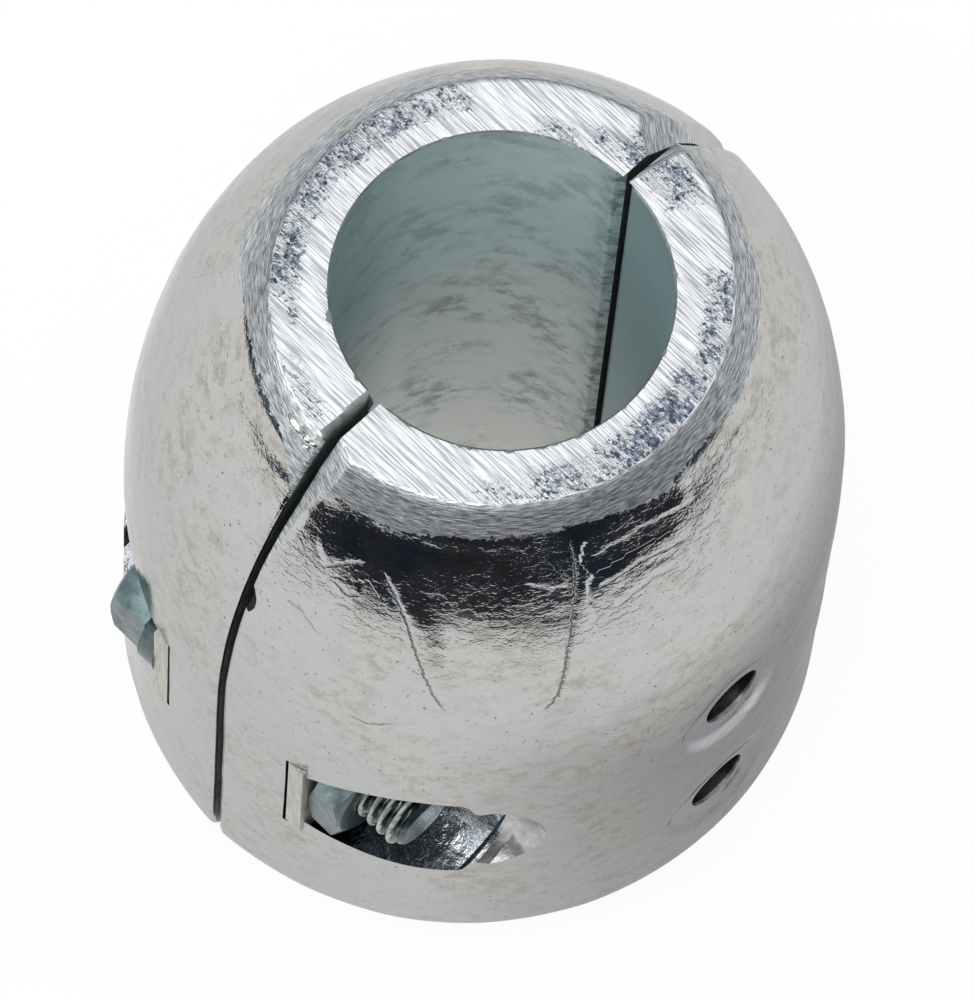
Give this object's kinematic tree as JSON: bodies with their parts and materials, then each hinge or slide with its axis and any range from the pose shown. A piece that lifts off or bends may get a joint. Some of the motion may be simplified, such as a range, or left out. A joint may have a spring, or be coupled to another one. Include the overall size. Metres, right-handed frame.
{
  "type": "shaft collar anode",
  "caption": "Two-piece zinc collar anode: a round-nosed sleeve split lengthwise, clamped on a propeller shaft by two cross bolts in side pockets.",
  "frame": {"origin": "centre of the bore at the flat base", "axes": "+Z along the shaft, towards the rounded nose; the castings meet at the XZ plane and the two bolts run along Y"},
  "size_m": [0.0558, 0.0542, 0.062],
  "materials": {
    "cast_zinc": "as-cast zinc with a sawn nose ring",
    "strap_steel": "sheared steel strip",
    "plated_steel": "bright zinc-plated steel"
  },
  "bodies": {
    "root": {"front_half": "cast_zinc", "back_half": "cast_zinc", "front_strap": "strap_steel", "back_strap": "strap_steel", "left_bolt": "plated_steel", "right_bolt": "plated_steel", "left_nut": "plated_steel", "right_nut": "plated_steel", "left_spring_washer": "plated_steel", "right_spring_washer": "plated_steel"}
  },
  "joints": []
}
